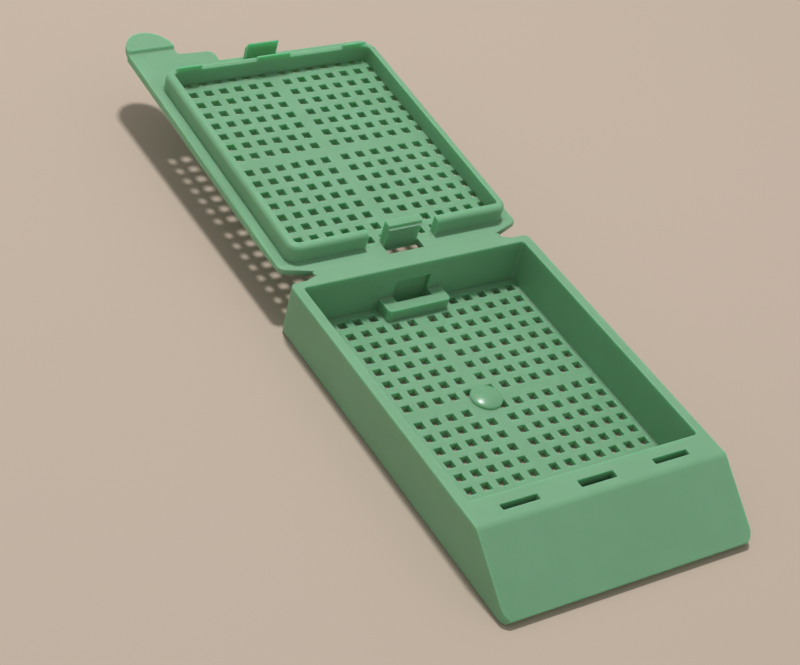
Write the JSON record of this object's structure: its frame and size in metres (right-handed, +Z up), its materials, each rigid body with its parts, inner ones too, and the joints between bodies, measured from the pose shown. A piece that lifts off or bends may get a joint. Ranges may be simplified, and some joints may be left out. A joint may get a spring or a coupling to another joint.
{
  "type": "tissue cassette",
  "caption": "Perforated plastic tray with a sloped writing face and a perforated snap lid that swings open on a thin moulded hinge.",
  "frame": {"origin": "centre of the tray's outer length and width, on the plane that the tray's underside stands on", "axes": "+Z up, out of the tray's open top. +Y from the writing face towards the hinge and the open lid. +X along the hinge line, towards the lid's plain far corner and away from the thumb tab"},
  "size_m": [0.0284, 0.0814, 0.0099],
  "materials": {
    "acetal": "satin"
  },
  "bodies": {
    "tray": {"base_tray": "acetal", "living_hinge": "acetal"},
    "lid": {"lid": "acetal"}
  },
  "joints": [
    {"name": "lid_hinge", "type": "hinge", "parent": "tray", "child": "lid", "pos_m": [0, 0.0212, 0.00583], "axis": [1, 0, 0], "range_deg": [-10, 177], "stiffness_Nm_per_rad": 0.006, "springref_deg": 2.03, "deforming": ["living_hinge"]}
  ]
}
